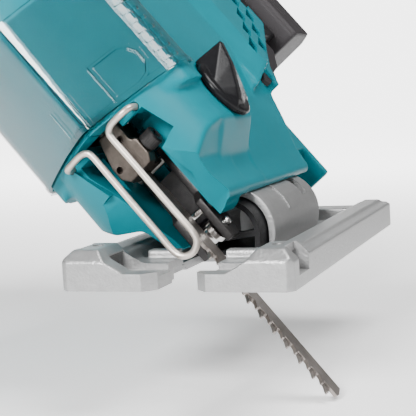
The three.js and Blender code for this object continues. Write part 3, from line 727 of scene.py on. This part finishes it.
def make_clamp():
    front = [(-5.7, 33.5), (-5.7, 38), (-3.4, 46), (-2.4, 48.6), (6, 48.6), (6, 41.4), (8, 40), (8, 33.6),
             (6.4, 31.2), (-3.4, 30.6)]
    body = join(along("y", front, 25, 30.5), block(-5.2, 5.2, 30, 38, 31, 48.6))
    body = soften(body, 0.3, 8)
    body = cut(body, block(-0.9, 0.9, 26.7, 36.7, 20, 39),
               turned([(0, 2.2), (20, 2.2)], CLAMP_SCREW, ACROSS, 32),
               turned([(0, 1.25), (8, 1.25)], (3.5, 20, 43.4), BACKWARD, 28),
               turned([(0, 1.25), (8, 1.25)], (-3.6, 20, 36.2), BACKWARD, 28))
    piece(body, "clamp_body", BODY, "plunger", SINTERED, ("blade_clamp",), sharp=40)
    profile = [(1.2, 1.9), (8.3, 1.9), (8.3, 2.9), (8.7, 3.3), (12.8, 3.3), (13.3, 2.8)]
    screw = turned(profile, CLAMP_SCREW, ACROSS, 48)
    cuts = [turned([(10.6, 1.7), (15, 1.7)], CLAMP_SCREW, ACROSS, 6)]
    for i in range(24):
        angle = 2 * math.pi * i / 24
        centre = (0, 28 + 3.42 * math.cos(angle), 37 + 3.42 * math.sin(angle))
        cuts.append(turned([(8.8, 0.22), (12.7, 0.22)], centre, ACROSS, 6))
    screw = cut(screw, *cuts)
    piece(screw, "clamp_socket_screw", BODY, "clamp_screw_body", OXIDE, ("clamp_screw",),
          sharp=30)


# ------------------------------------------------------------------ roller arm
ROLLER, PIVOT, STOP = (0, 41.2, 2), (0, 45, 33), (0, 39.6, 10.2)


def make_roller_arm():
    cheek = [(37.4, -3.6), (45, -3.6), (48.5, 3), (48.5, 30), (47, 36.4), (43, 36.4), (41.6, 30), (41.6, 16),
             (37.4, 13)]
    fork = join(bevelled(along("x", cheek, -7, -4), 0.5), bevelled(along("x", cheek, 4, 7), 0.5),
                block(-5, 5, 45.5, 48.5, 8, 28))
    fork = cut(fork, turned([(-9, 1.8), (9, 1.8)], ROLLER, ACROSS),
               turned([(-9, 1.8), (9, 1.8)], PIVOT, ACROSS),
               turned([(-9, 1.6), (9, 1.6)], STOP, ACROSS))
    piece(fork, "roller_fork", BODY, "roller_arm", OXIDE, ("roller_holder",), sharp=35)
    tread = [(-3.6, 3.6), (-3.2, 4.2), (-1.4, 4.2), (-0.9, 3.3), (0.9, 3.3), (1.4, 4.2), (3.2, 4.2),
             (3.6, 3.6)]
    wheel = turned(tread, ROLLER, ACROSS, 56)
    wheel = cut(wheel, turned([(-5, 1.8), (5, 1.8)], ROLLER, ACROSS))
    piece(wheel, "roller_wheel_rim", BODY, "roller_wheel", BRIGHT, ("roller",), sharp=35)
    pins = turned([(-8, 1.1), (-7.7, 1.5), (8.1, 1.5), (8.4, 1.1)], ROLLER, ACROSS, 32)
    piece(pins, "roller_axle", BODY, "roller_arm", BRIGHT, ("roller_pin",), sharp=30)
    stop = turned([(-6.6, 1.0), (-6.3, 1.3), (6.3, 1.3), (6.6, 1.0)], STOP, ACROSS, 32)
    piece(stop, "stop_pin", BODY, "roller_arm", BRIGHT, ("blade_stop_pin",), sharp=30)


# ------------------------------------------------------------------ orbital lever
def make_lever():
    """Glossy knob: a round plate with a tall finger grip, flat in front and pointed at its ends."""
    y, z, face, r = LEVER_Y, LEVER_Z, LEVER_FACE, LEVER_R
    rim = [(face + 0.5, r - 0.6), (face + 1, r), (face + 2.6, r), (face + 3.4, r - 1)]
    plate = turned(rim, (0, y, z), ACROSS, 64)
    foot_ring = [(y - 2, z + 13.6), (y - 9, z + 3.4), (y - 12, z), (y - 7, z - 10), (y + 2, z - 10.6),
                 (y + 14, z - 6), (y + 19, z + 1), (y + 17, z + 9), (y + 9, z + 15)]
    points = [(face + 0.7, a, b) for a, b in foot_ring]
    points += [(face + 2.4, a, b) for a, b in foot_ring]
    ridge = [(face + 11, y + 6, z + 14.6), (face + 9.8, y + 1.6, z + 5.6), (face + 7, y - 4, z - 3.4),
             (face + 5.2, y - 6.5, z - 7.4)]
    points += ridge + [(x - 0.4, a + 3, b - 0.6) for x, a, b in ridge]
    knob = join(plate, hull(points))
    knob = soften(knob, 0.4, 4)
    piece(knob, "lever_knob", BODY, "lever", GLOSS, ("orbital_lever",))


# ------------------------------------------------------------------ battery
def make_battery():
    half, split, rear, bottom, top = 38, 204, 232, 63.5, 175
    outer = [(-half + 2, split), (half - 2, split), (half, split + 2), (half, rear - 6), (half - 6, rear),
             (-half + 6, rear), (-half, rear - 6), (-half, split + 2)]
    shell = along("z", outer, bottom, top)
    shell = soften(shell, 0.9, 6)
    shell = cut(shell, block(3 - half, half - 3, split + 2, rear - 3, bottom + 3, top - 3),
                block(-27, 27, split - 1, split + 3, 73, 165),
                block(-11.4, 11.4, 208.6, 223.4, top - 4, top + 1))
    grooves = [side_block(side, half - 0.6, half + 2, split + 5 + 5 * i, split + 6.4 + 5 * i, bottom + 12,
                          top - 12)
               for side in (1, -1) for i in range(4)]
    shell = cut(shell, *grooves)
    piece(shell, "pack_shell", BODY, "battery", DARK, ("battery_rear_case",), sharp=40)
    rail = block(-30, 30, 185.6, split - 0.3, 70, 168)
    rail = bevelled(rail, 1)
    rail = cut(rail, block(-27, 27, 189, split + 1, 73, 165),
               *[side_block(side, 28.6, 31, 190, 196, 74, 164) for side in (1, -1)])
    piece(rail, "pack_rails", BODY, "battery", BLACK, ("battery_rail_case",), sharp=40)
    button = bevelled(block(-11, 11, 209, 223, top - 3.4, top + 2.6), 0.8)
    ribs = [block(-8, 8, 211 + 3 * i, 212.2 + 3 * i, top + 2, top + 3.2) for i in range(4)]
    button = join(button, *ribs)
    piece(button, "pack_latch", BODY, "battery_latch", BLACK, ("battery_button",), sharp=35)


# ------------------------------------------------------------------ grip and controls
def make_grip():
    """Moulded rubber sleeve over the handle, with upright grooves in both sides."""
    outside = [(88, 164), (88, 191.5), (100, 191.6), (150, 188.4), (150, 164)]
    handle = [(60, 150), (60, 190.4), (66, 191.2), (110, 188.9), (160, 185.7), (160, 150)]
    pad = soften(along("x", outside, -18.8, 18.8), 0.6, 6)
    pad = cut(pad, along("x", handle, -17.3, 17.3),
              turned([(17, 7), (30, 7)], (0, LOCK_Y, LOCK_Z), ACROSS, 40))
    grooves = [side_block(side, 18.2, 20, 112 + 4 * i, 113.6 + 4 * i, 168, 184)
               for side in (1, -1) for i in range(9)]
    pad = cut(pad, *grooves)
    piece(pad, "grip_sleeve", BODY, "housing", RUBBER, ("grip_pad",), sharp=40)


def make_bumper():
    """Dark foot under the battery mount, stepped up towards the battery."""
    side = [(134, 45.5), (138, 43), (150, 44.5), (155, 48.5), (168, 51.5), (184.4, 61), (184.4, 71.6),
            (140, 49.6)]
    body = soften(along("x", side, -28.6, 28.6), 0.6, 4)
    body = cut(body, block(-15.9, 15.9, 130, 163.4, 0, 46.4))
    piece(body, "mount_bumper", BODY, "housing", DARK)


def make_controls():
    trigger = cut(bevelled(block(-7, 7, 84, 112, 147, 160), 1.4),
                  *[block(-8, 8, 88 + 4 * i, 89 + 4 * i, 146, 147.7) for i in range(6)])
    piece(trigger, "trigger_paddle", BODY, "trigger_body", BLACK, ("trigger",), sharp=35)
    dial = turned([(-4, 8), (-3.4, 8.8), (3.4, 8.8), (4, 8)], (0, DIAL_Y, DIAL_Z), ACROSS, 48)
    notches = []
    for i in range(24):
        angle = 2 * math.pi * i / 24
        centre = (0, DIAL_Y + 9 * math.cos(angle), DIAL_Z + 9 * math.sin(angle))
        notches.append(turned([(-5, 0.5), (5, 0.5)], centre, ACROSS, 8))
    piece(cut(dial, *notches), "dial_wheel", BODY, "dial_body", BLACK, ("speed_dial",),
          sharp=30)
    lock = turned([(12.4, 4), (19.6, 4), (20.4, 3.2)], (0, LOCK_Y, LOCK_Z), ACROSS, 40)
    piece(lock, "lock_knob", BODY, "lock_body", BLACK, ("lock_button",), sharp=30)


make_camera()
make_studio()
finish_cad_nodes()
make_housing()
make_cover()
make_guard_wire()
make_base()
make_blade()
make_clamp()
make_roller_arm()
make_lever()
make_battery()
make_grip()
make_controls()
make_bumper()
